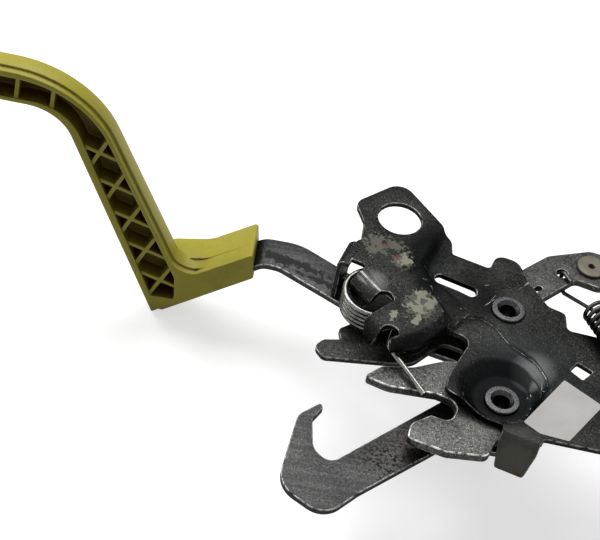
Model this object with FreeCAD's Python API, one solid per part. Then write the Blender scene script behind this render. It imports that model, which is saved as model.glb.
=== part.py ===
import FreeCAD, Part
import math
import os

os.makedirs("parts", exist_ok=True)
V = FreeCAD.Vector

# Sheet and stack heights, measured from the cover's upper flat
SHEET = 2.0
EAR_RISE = 4.0
ARM_RISE = 1.5
SHELF_DROP = 1.2
RECESS_DROP = 4.0
CLAW_THICK = 3.5
PAWL_THICK = 3.0
LEVER_THICK = 2.5
WASHER_THICK = 0.8
SIDE_PLAY = 0.3
LEVER_GAP = 2.4

# Pivots
PAWL_X = -9.7
PAWL_Y = 36.7
SHOULDER_R = 6.0
NECK_R = 4.3
RIVET_BORE_R = 2.9
FLANGE_R = 6.0
FLANGE_THICK = 0.9
RUN_FIT = 0.05

# Mounting holes
EAR_X = -57.6
EAR_Y = 56.2
EAR_HOLE_R = 7.9
SIDE_HOLE_X = 44.0
SIDE_HOLE_Y = 17.0
SIDE_HOLE_R = 4.5

# Springs
CLAW_WIRE = 1.6
CLAW_COIL_R = 10.3
CLAW_COIL_TURNS = 5.25
CLAW_COIL_X = -53.8
CLAW_COIL_Y = 21.3
CLAW_LEG_END = -70.8
PAWL_WIRE = 1.5
PAWL_COIL_R = 3.8
PAWL_COIL_PITCH = 2.2
PAWL_COIL_TURNS = 10
ANCHOR_X = 36.0
ANCHOR_Y = 26.0
EYE_X = 2.6
EYE_Y = 66.6
SPRING_CLEAR = 0.3
LEG_CLEAR = 0.2

# Tabs bent down from the cover
FLAP_X = -67.0
FLAP_Y = 31.3
FLAP_WIDTH = 11.6
FLAP_BEND = 2.8
FLAP_GAP = 0.5
DRUM_ANGLE = 239.0
DRUM_WIDTH = 11.0
DRUM_BEND = 5.0
DRUM_DROP = 9.0
DRUM_GAP = 4.3
DRUM_SHIFT = -2.2
STOP_ANGLE = 234.0
STOP_WIDTH = 7.6
STOP_BEND = 4.0
STOP_DROP = 9.5
STOP_OUT = 7.6
STOP_GAP = 3.75
FOOT_X = 10.2
FOOT_Y = -13.6
FOOT_WIDTH = 13.0
FOOT_BEND = 3.5
FOOT_DROP = 14.5
FOOT_LEAN = 8.0
NOTCH_X = -42.4
NOTCH_Y = 2.8
NOTCH_R = 3.1

# Claw and pawl
CAM_HIGH_R = 19.0
CAM_LOW_R = 15.0
CLAW_HUB_R = 13.0
NOSE_ANGLE = 62.0
PAWL_HUB_R = 8.5
BUSH_X = 11.4
BUSH_Y = 74.6
BUSH_R = 5.2
BUSH_NECK_R = 3.2

# Bar and handle
BAR_WIDTH = 13.5
BAR_BEND_X = -96.8
BAR_BEND_Y = 35.3
BAR_TURN = 196.0
BAR_DIP = 37.6
BAR_BEND_R = 5.0
BAR_IN = 30.0
ARM_DEPTH = 8.5
RIM_STEP = 1.0
RIM_DEPTH = 2.2
SOCKET_DEPTH = 17.0
FRONT_OFFSET = 8.0
POCKET_DEPTH = 7.0
RIB = 1.5
LATTICE_PITCH = 15.4

# Heights that follow
COVER_LOW = -RECESS_DROP - SHEET
CLAW_TOP = COVER_LOW - SIDE_PLAY
CLAW_LOW = CLAW_TOP - CLAW_THICK
BASE_TOP = CLAW_LOW - SIDE_PLAY
BASE_LOW = BASE_TOP - SHEET
LEVER_TOP = BASE_LOW - LEVER_GAP - SIDE_PLAY
LEVER_LOW = LEVER_TOP - LEVER_THICK
WASHER_TOP = LEVER_LOW - SIDE_PLAY
WASHER_LOW = WASHER_TOP - WASHER_THICK
PAWL_TOP = -SHEET - SIDE_PLAY
PAWL_ARM_LOW = PAWL_TOP - PAWL_THICK


def rounded(corners, z=0.0):
    """Closed wire through corners (x, y, radius)."""
    count = len(corners)
    marks = []
    for i in range(count):
        p = V(corners[i][0], corners[i][1], z)
        a = V(corners[i - 1][0], corners[i - 1][1], z)
        b = V(corners[(i + 1) % count][0], corners[(i + 1) % count][1], z)
        u = (a - p).normalize()
        w = (b - p).normalize()
        half = u.getAngle(w) / 2.0
        reach = corners[i][2] / max(math.tan(half), 1e-6)
        reach = min(reach, 0.48 * p.distanceToPoint(a), 0.48 * p.distanceToPoint(b))
        radius = reach * math.tan(half)
        if radius < 0.02 or half > math.radians(89.5):
            marks.append((p, p, p))
            continue
        axis = (u + w).normalize()
        middle = p + axis * (radius / math.sin(half) - radius)
        marks.append((p + u * reach, middle, p + w * reach))
    edges = []
    for i in range(count):
        start, middle, end = marks[i]
        if start.distanceToPoint(end) > 1e-6:
            edges.append(Part.Arc(start, middle, end).toShape())
        following = marks[(i + 1) % count][0]
        if end.distanceToPoint(following) > 1e-6:
            edges.append(Part.makeLine(end, following))
    return Part.Wire(edges)


def slab(corners, low, top):
    """Flat plate of a rounded outline between two heights."""
    return Part.Face(rounded(corners, low)).extrude(V(0, 0, top - low))


def ramp(low_corners, top_corners, low, top):
    """Raised or sunk area with sloping sides."""
    return Part.makeLoft([rounded(low_corners, low), rounded(top_corners, top)], True, True)


def disc(x, y, radius, low, top):
    return Part.makeCylinder(radius, top - low, V(x, y, low))


def ring(x, y, outer, inner, low, top):
    return disc(x, y, outer, low, top).cut(disc(x, y, inner, low - 1, top + 1))


def capsule(x1, y1, x2, y2, radius, low, top):
    """Slot shape from one centre to the other."""
    away = V(x2 - x1, y2 - y1, 0)
    side = V(-away.y, away.x, 0).normalize() * radius
    along = V(away.x, away.y, 0).normalize() * radius
    a = V(x1, y1, low)
    b = V(x2, y2, low)
    edges = [
        Part.makeLine(a + side, b + side),
        Part.Arc(b + side, b + along, b - side).toShape(),
        Part.makeLine(b - side, a - side),
        Part.Arc(a - side, a - along, a + side).toShape(),
    ]
    return Part.Face(Part.Wire(edges)).extrude(V(0, 0, top - low))


def place_profile(wire, origin, across, up):
    """Turn a wire drawn in XY into the plane of across and up at origin."""
    normal = across.cross(up)
    m = FreeCAD.Matrix(
        across.x, up.x, normal.x, origin.x,
        across.y, up.y, normal.y, origin.y,
        across.z, up.z, normal.z, origin.z,
        0, 0, 0, 1)
    moved = wire.copy()
    moved.Placement = FreeCAD.Placement(m)
    return moved


def bent_tab(x, y, angle, width, top, drop, bend, lean=0.0, taper=0.0):
    """Tab of the sheet, bent down over an edge; angle is the way it faces."""
    out = V(math.cos(math.radians(angle)), math.sin(math.radians(angle)), 0)
    side = V(-out.y, out.x, 0)
    inner = bend - SHEET
    c = math.radians(90.0 - lean)
    tip_out = bend * math.sin(c)
    tip_up = bend * math.cos(c) - bend
    run = drop + tip_up
    way_out = math.cos(c) * run
    way_up = -math.sin(c) * run
    h = c / 2.0
    pts = [
        Part.makeLine(V(-1.5, -SHEET, 0), V(-1.5, 0, 0)),
        Part.makeLine(V(-1.5, 0, 0), V(0, 0, 0)),
        Part.Arc(V(0, 0, 0), V(bend * math.sin(h), bend * math.cos(h) - bend, 0),
                 V(tip_out, tip_up, 0)).toShape(),
        Part.makeLine(V(tip_out, tip_up, 0), V(tip_out + way_out, tip_up + way_up, 0)),
    ]
    in_out = inner * math.sin(c)
    in_up = inner * math.cos(c) - bend
    far = V(tip_out + way_out, tip_up + way_up, 0)
    near = V(in_out + way_out, in_up + way_up, 0)
    pts.append(Part.makeLine(far, near))
    pts.append(Part.makeLine(near, V(in_out, in_up, 0)))
    pts.append(Part.Arc(V(in_out, in_up, 0), V(inner * math.sin(h), inner * math.cos(h) - bend, 0),
                        V(0, -SHEET, 0)).toShape())
    pts.append(Part.makeLine(V(0, -SHEET, 0), V(-1.5, -SHEET, 0)))
    origin = V(x, y, top) - side * (width / 2.0)
    up = V(0, 0, 1)
    face = Part.Face(place_profile(Part.Wire(pts), origin, out, up))
    tab = face.extrude(side * width)
    if taper > 0.0:
        w = width / 2.0
        low = -drop - 5.0
        trim = Part.Face(place_profile(rounded([
            (-w, 5.0, 0), (w, 5.0, 0), (w, -2.0 * SHEET, 0), (w - taper, -drop, taper),
            (taper - w, -drop, taper), (-w, -2.0 * SHEET, 0)]),
            V(x, y, top) - out * 8.0, side, up)).extrude(out * 60.0)
        tab = tab.common(trim)
    return tab


def stem(points, radius):
    """Round wire along straight runs with rounded turns; points are (x, y, z, turn radius)."""
    ps = [V(p[0], p[1], p[2]) for p in points]
    edges = []
    last = ps[0]
    for i in range(1, len(ps) - 1):
        u = (ps[i - 1] - ps[i]).normalize()
        w = (ps[i + 1] - ps[i]).normalize()
        half = u.getAngle(w) / 2.0
        reach = points[i][3] / math.tan(half)
        start = ps[i] + u * reach
        end = ps[i] + w * reach
        middle = ps[i] + (u + w).normalize() * (points[i][3] / math.sin(half) - points[i][3])
        edges.append(Part.makeLine(last, start))
        edges.append(Part.Arc(start, middle, end).toShape())
        last = end
    edges.append(Part.makeLine(last, ps[-1]))
    way = ps[1] - ps[0]
    section = Part.Wire(Part.makeCircle(radius, ps[0], way))
    return Part.Wire(edges).makePipeShell([section], True, False)


def coil(radius, wire_r, pitch, turns, way):
    """Coil about Z in quarter turns, rising from the X side; way is 1 or -1 seen from above."""
    marks = []
    for i in range(round(turns * 8) + 1):
        a = way * math.pi / 4.0 * i
        marks.append(V(radius * math.cos(a), radius * math.sin(a), pitch * i / 8.0))
    edges = []
    for i in range(0, len(marks) - 2, 2):
        edges.append(Part.Arc(marks[i], marks[i + 1], marks[i + 2]).toShape())
    section = Part.Wire(Part.makeCircle(wire_r, marks[0], V(0, way, 0)))
    return Part.Wire(edges).makePipeShell([section], True, True)


def beside_coil(angle, out, shift):
    """Place on the given way out of the claw spring's centre, shifted to the left of that way."""
    a = math.radians(angle)
    x = CLAW_COIL_X + math.cos(a) * out - math.sin(a) * shift
    y = CLAW_COIL_Y + math.sin(a) * out + math.cos(a) * shift
    return x, y


def bend_ends(x, y, angle, width):
    """Both ends of a tab's bend line."""
    a = math.radians(angle)
    side_x = -math.sin(a) * width / 2.0
    side_y = math.cos(a) * width / 2.0
    return (x + side_x, y + side_y, 0.0), (x - side_x, y - side_y, 0.0)


# The drum tab lies inside the coil and the stop tab beside it, so both follow the coil's radius
DRUM_OUT = CLAW_COIL_R - CLAW_WIRE / 2.0 - DRUM_BEND - DRUM_GAP
DRUM_X, DRUM_Y = beside_coil(DRUM_ANGLE, DRUM_OUT, DRUM_SHIFT)
STOP_X, STOP_Y = beside_coil(STOP_ANGLE, STOP_OUT, CLAW_COIL_R + STOP_GAP)
DRUM_NEAR, DRUM_FAR = bend_ends(DRUM_X, DRUM_Y, DRUM_ANGLE, DRUM_WIDTH)
STOP_NEAR, STOP_FAR = bend_ends(STOP_X, STOP_Y, STOP_ANGLE, STOP_WIDTH)

# Cover plate: outline, formed levels, holes and bent tabs
COVER_EDGE = [
    (-67.0, 28.4, 1.0), (-67.2, 38.2, 1.5), (-66.2, 39.2, 1.0), (-68.5, 48.1, 4.0),
    (-74.9, 56.1, 5.0), (-63.4, 75.3, 6.0), (-37.4, 57.4, 6.0), (-35.3, 51.5, 1.0),
    (-21.3, 51.5, 1.5), (-21.2, 59.5, 4.5), (-13.5, 59.8, 4.5), (-6.8, 53.5, 1.5),
    (2.5, 45.8, 3.0), (9.0, 45.5, 2.5), (11.5, 38.2, 2.0), (24.0, 40.8, 8.0),
    (52.0, 40.0, 9.0), (56.0, 4.0, 9.0), (36.0, -7.5, 4.0), (17.2, -12.0, 1.0),
    (17.0, -14.0, 0.3), (3.6, -14.0, 0.3), (3.0, -9.3, 1.0), (-3.0, -9.6, 4.0),
    (-18.5, -6.5, 2.0), (-19.2, 0.0, 8.0), (-17.0, 18.5, 4.0), (-25.5, 18.5, 4.0),
    (-31.5, 4.5, 8.0), (-40.2, -2.5, 1.0), STOP_NEAR, STOP_FAR,
    (-45.8, 17.6, 1.5), (-48.4, 20.1, 1.5), DRUM_NEAR, DRUM_FAR, (-60.2, 28.2, 1.6),
]
EAR_LOW = [
    (-110, -40, 0), (-110, 110, 0), (-38.0, 110, 0), (-39.6, 59.0, 8), (-40.8, 38.0, 8),
    (-24.0, 31.0, 4), (-22.5, 24.0, 6), (-28.5, 9.0, 12), (-37.5, -1.5, 10), (-45.0, -10, 0),
]
EAR_TOP = [
    (-110, -40, 0), (-110, 110, 0), (-40.5, 110, 0), (-42.4, 59.0, 8), (-43.6, 38.0, 8),
    (-35.0, 26.0, 6), (-27.5, 20.0, 6), (-31.5, 11.0, 12), (-38.5, 2.0, 10), (-45.0, -6, 0),
]
ARM_LOW = [
    (-60, 20, 0), (-60, 80, 0), (0.0, 80, 0), (-6.0, 56.0, 4), (-10.6, 48.3, 6),
    (-14.8, 43.7, 6), (-18.5, 32.0, 4),
]
ARM_TOP = [
    (-60, 24, 0), (-60, 80, 0), (-4.0, 80, 0), (-11.5, 55.0, 4), (-15.0, 49.5, 6),
    (-19.0, 45.5, 6), (-26.0, 36.0, 4),
]
SHELF_TOP = [
    (-50, -40, 0), (-46, -10, 0), (-37.0, 0.0, 10), (-28.5, 10.5, 12), (-23.0, 24.5, 6), (-18.6, 29.5, 4),
    (-12.0, 28.5, 8), (-4.5, 22.8, 10), (6.0, 19.5, 8), (13.0, 12.5, 8), (12.0, 2.0, 8),
    (2.6, -9.9, 3), (2.4, -40, 0),
]
SHELF_LOW = [
    (-50, -40, 0), (-46, -11, 0), (-36.5, -1.5, 10), (-27.0, 10.0, 12), (-21.8, 23.5, 6), (-18.3, 28.0, 4),
    (-12.4, 27.0, 8), (-5.2, 21.4, 10), (5.2, 18.0, 8), (11.8, 11.6, 8), (10.8, 2.2, 8),
    (1.3, -9.6, 3), (1.0, -40, 0),
]
RECESS_RINGS = [
    (-2.6, 3.2, 16.8, 0.0), (-2.4, 2.9, 15.8, 0.055), (-2.0, 2.4, 14.4, 0.225), (-1.4, 1.6, 12.9, 0.5),
    (-0.7, 0.7, 11.2, 0.8), (-0.2, 0.2, 10.0, 0.96), (0, 0, 9.0, 1.0),
]


def formed(drop):
    """Solid whose top is the formed surface, lowered by drop."""
    reach = 60.0
    body = Part.makeBox(220, 200, reach, V(-110, -60, -reach))
    body = body.fuse(ramp(ARM_LOW, ARM_TOP, 0.0, ARM_RISE))
    body = body.fuse(ramp(EAR_LOW, EAR_TOP, 0.0, EAR_RISE))
    sunk = Part.makeLoft([rounded(SHELF_LOW, -SHELF_DROP), rounded(SHELF_TOP, 0.0)], True, True)
    sunk = sunk.fuse(slab(SHELF_TOP, 0.0, EAR_RISE + 1.0))
    keep = ramp(EAR_LOW, EAR_TOP, 0.0, EAR_RISE)
    body = body.cut(sunk.cut(keep))
    rings = []
    for x, y, r, part in RECESS_RINGS:
        rings.append(Part.Wire(Part.makeCircle(r, V(x, y, -RECESS_DROP * part))))
    body = body.cut(Part.makeLoft(rings, True, False))
    body.translate(V(0, 0, -drop))
    return body


def make_cover():
    sheet = formed(0.0).cut(formed(SHEET))
    sheet = sheet.common(slab(COVER_EDGE, -20, 20))
    low, top = -20, 20
    holes = [
        disc(EAR_X, EAR_Y, EAR_HOLE_R, low, top),
        disc(SIDE_HOLE_X, SIDE_HOLE_Y, SIDE_HOLE_R, low, top),
        capsule(-35.2, 37.6, -24.0, 37.4, 2.1, low, top),
        disc(NOTCH_X, NOTCH_Y, NOTCH_R, low, top),
        disc(0, 0, NECK_R, low, top),
        disc(PAWL_X, PAWL_Y, NECK_R, low, top),
        slab([(17.0, 20.8, 0.6), (18.6, 25.3, 0.6), (24.3, 23.9, 0.6), (22.1, 18.7, 0.6)], low, top),
        disc(ANCHOR_X, ANCHOR_Y, PAWL_WIRE / 2.0 + 0.35, low, top),
    ]
    flap_drop = EAR_RISE - LEVER_TOP - FLAP_GAP
    tabs = [
        bent_tab(FLAP_X, FLAP_Y, 180, FLAP_WIDTH, EAR_RISE, flap_drop, FLAP_BEND),
        bent_tab(DRUM_X, DRUM_Y, DRUM_ANGLE, DRUM_WIDTH, EAR_RISE, DRUM_DROP, DRUM_BEND, 0, 2.5),
        bent_tab(STOP_X, STOP_Y, STOP_ANGLE, STOP_WIDTH, EAR_RISE, STOP_DROP, STOP_BEND, 0, 1.5),
        bent_tab(FOOT_X, FOOT_Y, 270, FOOT_WIDTH, 0.0, FOOT_DROP, FOOT_BEND, FOOT_LEAN, 1.5),
    ]
    leg_start = V(FLAP_X - 2.0 * FLAP_BEND, CLAW_COIL_Y + CLAW_COIL_R, claw_spring_low())
    leg_hole = Part.makeCylinder(CLAW_WIRE / 2.0 + LEG_CLEAR, 3.0 * FLAP_BEND, leg_start, V(1, 0, 0))
    tabs[0] = tabs[0].cut(leg_hole)
    for tab in tabs:
        sheet = sheet.fuse(tab)
    for hole in holes:
        sheet = sheet.cut(hole)
    return sheet.removeSplitter()


def claw_spring_low():
    """Height of the claw spring's lowest turn, just over the base plate."""
    return BASE_TOP + SPRING_CLEAR + CLAW_WIRE / 2.0


def rivet(x, y, head_low, stack_low, necks, tail_low):
    """Hollow rivet: head, shoulder between the plates, rolled tail."""
    body = disc(x, y, FLANGE_R, head_low, head_low + FLANGE_THICK)
    for radius, low, top in necks:
        body = body.fuse(disc(x, y, radius, low, top))
    body = body.fuse(disc(x, y, FLANGE_R, tail_low, stack_low))
    body = body.removeSplitter()
    round_edges = []
    for edge in body.Edges:
        spot = edge.BoundBox
        outer = abs(spot.XLength - 2 * FLANGE_R) < 0.01
        if outer and abs(spot.ZLength) < 0.001:
            if abs(spot.ZMin - head_low - FLANGE_THICK) < 0.001 or abs(spot.ZMin - tail_low) < 0.001:
                round_edges.append(edge)
    body = body.makeFillet(FLANGE_THICK * 0.6, round_edges)
    top = head_low + FLANGE_THICK
    body = body.cut(disc(x, y, RIVET_BORE_R, tail_low - 1, top + 1))
    flare = Part.makeCone(RIVET_BORE_R, RIVET_BORE_R + 1.2, 1.2, V(x, y, top - 1.2))
    return body.cut(flare)


def make_claw_rivet():
    necks = [
        (NECK_R, COVER_LOW, -RECESS_DROP),
        (SHOULDER_R, BASE_TOP, COVER_LOW),
        (NECK_R, WASHER_LOW, BASE_TOP),
    ]
    return rivet(0, 0, -RECESS_DROP, WASHER_LOW, necks, WASHER_LOW - FLANGE_THICK)


def make_pawl_rivet():
    necks = [
        (NECK_R, -SHEET, 0.0),
        (SHOULDER_R, BASE_TOP, -SHEET),
        (NECK_R, BASE_LOW, BASE_TOP),
    ]
    return rivet(PAWL_X, PAWL_Y, 0.0, BASE_LOW, necks, BASE_LOW - FLANGE_THICK)


def make_claw():
    edge = [
        (-45.0, -10.2, 1.2), (-41.0, -3.2, 3.0), (-31.5, 1.4, 10.0), (-23.4, 9.0, 8.0), (-14.5, 13.5, 3.0),
        (-6.0, 8.0, 4.0), (4.0, -8.0, 4.0), (4.5, -13.8, 1.0), (3.1, -14.6, 0.6), (2.6, -22.2, 3.0),
        (-10.0, -27.0, 4.0),
        (-23.5, -27.6, 2.0), (-24.2, -21.5, 4.0), (-19.3, -14.9, 1.0), (-12.6, -14.8, 4.9),
        (-12.4, -5.6, 4.9), (-20.5, -5.6, 3.0), (-36.0, -10.4, 12.0),
    ]
    body = slab(edge, CLAW_LOW, CLAW_TOP)
    body = body.fuse(disc(0, 0, CLAW_HUB_R, CLAW_LOW, CLAW_TOP))
    low = disc(0, 0, CAM_LOW_R, CLAW_LOW, CLAW_TOP)
    low = low.common(slab([(0, 0, 0), (-40, 16, 0), (-40, 60, 0), (40, 60, 0), (40, 0, 0)], CLAW_LOW, CLAW_TOP))
    high = disc(0, 0, CAM_HIGH_R, CLAW_LOW, CLAW_TOP)
    high = high.common(slab([(0, 0, 0), (-24, 60, 0), (60, 60, 0), (60, 22, 0)], CLAW_LOW, CLAW_TOP))
    body = body.fuse(low).fuse(high)
    body = body.cut(disc(0, 0, SHOULDER_R + RUN_FIT, CLAW_LOW - 1, CLAW_TOP + 1))
    return body.removeSplitter()


def make_pawl():
    nose_r = CAM_HIGH_R + SIDE_PLAY
    a = math.radians(NOSE_ANGLE)
    nx = nose_r * math.cos(a)
    ny = nose_r * math.sin(a)
    out = V(math.cos(a), math.sin(a), 0)
    side = V(-out.y, out.x, 0)
    tip = V(nx, ny, 0) + out * 2.6
    nose = disc(tip.x, tip.y, 2.6, CLAW_LOW, CLAW_TOP)
    foot = [
        (PAWL_X + 6.5, PAWL_Y + 5.0, 2.0), (PAWL_X - 3.3, PAWL_Y - 6.5, 2.0),
        (tip.x - 1.2, tip.y - 1.75, 1.0), (tip.x + 2.4, tip.y + 1.0, 1.0),
    ]
    nose = nose.fuse(slab(foot, CLAW_LOW, CLAW_TOP))
    nose = nose.fuse(disc(PAWL_X, PAWL_Y, PAWL_HUB_R, CLAW_LOW, PAWL_TOP))
    arm = [
        (PAWL_X - 8.5, PAWL_Y, 4.0), (-11.5, 60.0, 6.0), (-4.5, 72.6, 6.0), (9.0, 83.2, 5.0),
        (24.0, 84.5, 6.0), (27.0, 72.0, 6.0), (16.0, 66.4, 3.0), (8.0, 66.2, 3.0),
        (-1.0, 49.5, 6.0), (PAWL_X + 8.0, PAWL_Y - 2.0, 4.0),
    ]
    body = nose.fuse(slab(arm, PAWL_ARM_LOW, PAWL_TOP))
    body = body.cut(disc(PAWL_X, PAWL_Y, SHOULDER_R + RUN_FIT, CLAW_LOW - 1, PAWL_TOP + 1))
    body = body.cut(disc(EYE_X, EYE_Y, 2.1, PAWL_ARM_LOW - 1, PAWL_TOP + 1))
    body = body.cut(capsule(-4.8, 51.8, -2.8, 55.2, 1.0, PAWL_ARM_LOW - 1, PAWL_TOP + 1))
    body = body.cut(disc(BUSH_X, BUSH_Y, BUSH_NECK_R, PAWL_ARM_LOW - 1, PAWL_TOP + 1))
    return body.removeSplitter()


def make_bush():
    lip = 1.1
    body = disc(BUSH_X, BUSH_Y, BUSH_R, PAWL_TOP, PAWL_TOP + lip)
    body = body.fuse(disc(BUSH_X, BUSH_Y, BUSH_NECK_R, PAWL_ARM_LOW, PAWL_TOP))
    body = body.fuse(disc(BUSH_X, BUSH_Y, BUSH_NECK_R + 1.0, PAWL_ARM_LOW - lip, PAWL_ARM_LOW))
    body = body.removeSplitter()
    body = body.cut(disc(BUSH_X, BUSH_Y, 1.2, PAWL_ARM_LOW - lip - 1, PAWL_TOP + lip + 1))
    return body


def make_base():
    edge = [
        (-63.4, 1.6, 3.0), (-65.3, -3.0, 3.5), (-60.6, -6.2, 2.5), (-40.0, 2.4, 4.0), (-32.5, 6.0, 8.0),
        (-26.0, 20.5, 4.0), (-16.0, 20.5, 4.0), (-17.5, 0.0, 8.0), (-11.0, -10.0, 4.0), (2.0, -12.0, 3.0),
        (15.0, -9.0, 4.0), (17.0, 4.0, 6.0), (12.0, 22.0, 10.0), (6.0, 40.0, 6.0),
        (-4.0, 47.0, 6.0), (-18.0, 46.0, 6.0), (-26.0, 35.0, 6.0), (-44.0, 24.0, 6.0), (-49.0, 12.6, 4.0),
        (-56.5, 14.6, 2.0), (-60.6, 8.6, 2.0), (-58.2, 4.4, 0.6),
    ]
    body = slab(edge, BASE_LOW, BASE_TOP)
    body = body.cut(disc(0, 0, NECK_R, BASE_LOW - 1, BASE_TOP + 1))
    return body.cut(disc(PAWL_X, PAWL_Y, NECK_R, BASE_LOW - 1, BASE_TOP + 1))


def bar_path():
    """Bar beyond the hub: side corners up to the bend line."""
    turn = math.radians(BAR_TURN)
    out = V(math.cos(turn), math.sin(turn), 0)
    side = V(-out.y, out.x, 0) * (BAR_WIDTH / 2.0)
    end = V(BAR_BEND_X, BAR_BEND_Y, 0)
    return out, side, end


def make_lever():
    out, side, end = bar_path()
    near = end + side
    far = end - side
    arm = [
        (9.0, -9.0, 6.0), (12.0, 8.0, 10.0), (-2.0, 27.5, 14.0), (-30.0, 31.4, 20.0), (-89.0, 44.6, 26.0),
        (far.x, far.y, 0.0), (near.x, near.y, 0.0), (-91.2, 29.7, 14.0), (-36.0, 18.2, 10.0),
        (-16.5, 19.4, 5.0), (-14.6, 4.0, 8.0), (-9.0, -9.0, 4.0),
    ]
    hook = [
        (-54.6, -20.6, 0.9), (-59.6, -29.0, 5.0), (-57.8, -41.0, 20.0), (-55.0, -58.0, 10.0), (-37.0, -62.6, 8.0),
        (-30.5, -49.0, 10.0), (-2.5, -2.8, 4.0), (-16.4, 3.5, 4.0), (-43.0, -42.6, 5.0),
        (-50.0, -39.5, 6.0), (-54.6, -28.6, 2.0), (-53.2, -22.6, 0.8),
    ]
    body = slab(arm, LEVER_LOW, LEVER_TOP).fuse(slab(hook, LEVER_LOW, LEVER_TOP))
    body = body.fuse(disc(0, 0, CLAW_HUB_R, LEVER_LOW, LEVER_TOP))
    body = body.cut(disc(0, 0, SHOULDER_R + RUN_FIT, LEVER_LOW - 1, LEVER_TOP + 1))
    return body.fuse(make_bar_tail()).removeSplitter()


def make_bar_tail():
    """Bar beyond the bend line, dipping into the handle."""
    out, side, end = bar_path()
    dip = math.radians(BAR_DIP)
    inner = BAR_BEND_R
    outer = BAR_BEND_R + LEVER_THICK
    h = dip / 2.0
    top_end = V(outer * math.sin(dip), outer * math.cos(dip) - outer, 0)
    low_end = V(inner * math.sin(dip), inner * math.cos(dip) - outer, 0)
    way = V(math.cos(dip), -math.sin(dip), 0) * BAR_IN
    edges = [
        Part.Arc(V(0, 0, 0), V(outer * math.sin(h), outer * math.cos(h) - outer, 0), top_end).toShape(),
        Part.makeLine(top_end, top_end + way),
        Part.makeLine(top_end + way, low_end + way),
        Part.makeLine(low_end + way, low_end),
        Part.Arc(low_end, V(inner * math.sin(h), inner * math.cos(h) - outer, 0),
                 V(0, -LEVER_THICK, 0)).toShape(),
        Part.makeLine(V(0, -LEVER_THICK, 0), V(0, 0, 0)),
    ]
    start = end + V(0, 0, LEVER_TOP) - side
    wire = place_profile(Part.Wire(edges), start, out, V(0, 0, 1))
    return Part.Face(wire).extrude(side * 2.0)


HANDLE_EDGE = [
    (-6.0, -10.0, 1.0), (-30.0, -28.6, 8.0), (-68.2, 53.0, 40.0), (-124.0, 54.5, 6.0), (-126.0, 40.0, 6.0),
    (-77.5, 39.0, 16.0), (-40.2, -50.4, 1.5), (-4.4, -21.8, 1.0),
]
SOCKET_BACK = [
    (-6.0, -10.0, 1.0), (-22.0, -22.2, 12.0), (-37.2, -25.6, 5.0), (-41.0, -40.0, 4.0), (-37.4, -48.2, 2.0),
    (-4.4, -21.8, 1.0),
]
SOCKET_EDGE = [(-6.0, -10.0, 1.0), (-30.6, -29.0, 0.5), (-40.2, -50.4, 1.5), (-4.4, -21.8, 1.0)]


def handle_face(corners, shift):
    """Outline drawn in the handle's own plane, shifted across its depth."""
    out, side, end = bar_path()
    across = V(-out.x, -out.y, 0)
    deep = V(-across.y, across.x, 0)
    wire = place_profile(rounded(corners), end + deep * shift, across, V(0, 0, 1))
    return Part.Face(wire), deep


def make_handle():
    face, deep = handle_face(HANDLE_EDGE, RIM_DEPTH - FRONT_OFFSET)
    body = face.extrude(deep * (ARM_DEPTH - RIM_DEPTH))
    face, deep = handle_face(HANDLE_EDGE, -FRONT_OFFSET)
    body = body.fuse(face.makeOffset2D(-RIM_STEP).extrude(deep * (RIM_DEPTH + 1.0)))
    face, deep = handle_face(SOCKET_EDGE, -FRONT_OFFSET)
    body = body.fuse(face.extrude(deep * SOCKET_DEPTH))
    face, deep = handle_face(SOCKET_BACK, ARM_DEPTH - FRONT_OFFSET - 2.0)
    body = body.fuse(face.extrude(deep * (SOCKET_DEPTH - ARM_DEPTH + 2.0)))
    pocket_edge = [
        (-32.0, -40.0, 1.0), (-32.8, -29.0, 4.0), (-69.4, 49.6, 36.0), (-121.0, 51.0, 4.0), (-122.6, 43.0, 4.0),
        (-74.2, 41.6, 18.0), (-40.6, -40.2, 1.0),
    ]
    face, deep = handle_face(pocket_edge, -FRONT_OFFSET)
    pocket = face.extrude(deep * POCKET_DEPTH)
    body = body.cut(pocket)
    ribs = []
    foot = V(-37.8, -32.0, 0)
    lean = V(-0.407, 0.914, 0)
    cross = V(lean.y, -lean.x, 0)
    half = 8.5
    for i in range(5):
        low = foot + lean * (LATTICE_PITCH * i - LATTICE_PITCH / 2.0)
        top = low + lean * LATTICE_PITCH
        ribs.append((low - cross * half, top + cross * half))
        ribs.append((low + cross * half, top - cross * half))
    for i in range(4):
        s = -80.0 - 12.0 * i
        ribs.append((V(s, 36.0, 0), V(s + 1.5, 56.0, 0)))
    lattice = None
    for a, b in ribs:
        way = (b - a).normalize()
        thick = V(-way.y, way.x, 0) * (RIB / 2.0)
        corners = []
        for p in (a - thick, b - thick, b + thick, a + thick):
            corners.append((p.x, p.y, 0.0))
        face, deep = handle_face(corners, -FRONT_OFFSET + 0.6)
        rib = face.extrude(deep * POCKET_DEPTH)
        lattice = rib if lattice is None else lattice.fuse(rib)
    body = body.fuse(lattice.common(pocket))
    return body.cut(make_bar_tail()).removeSplitter()


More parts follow.
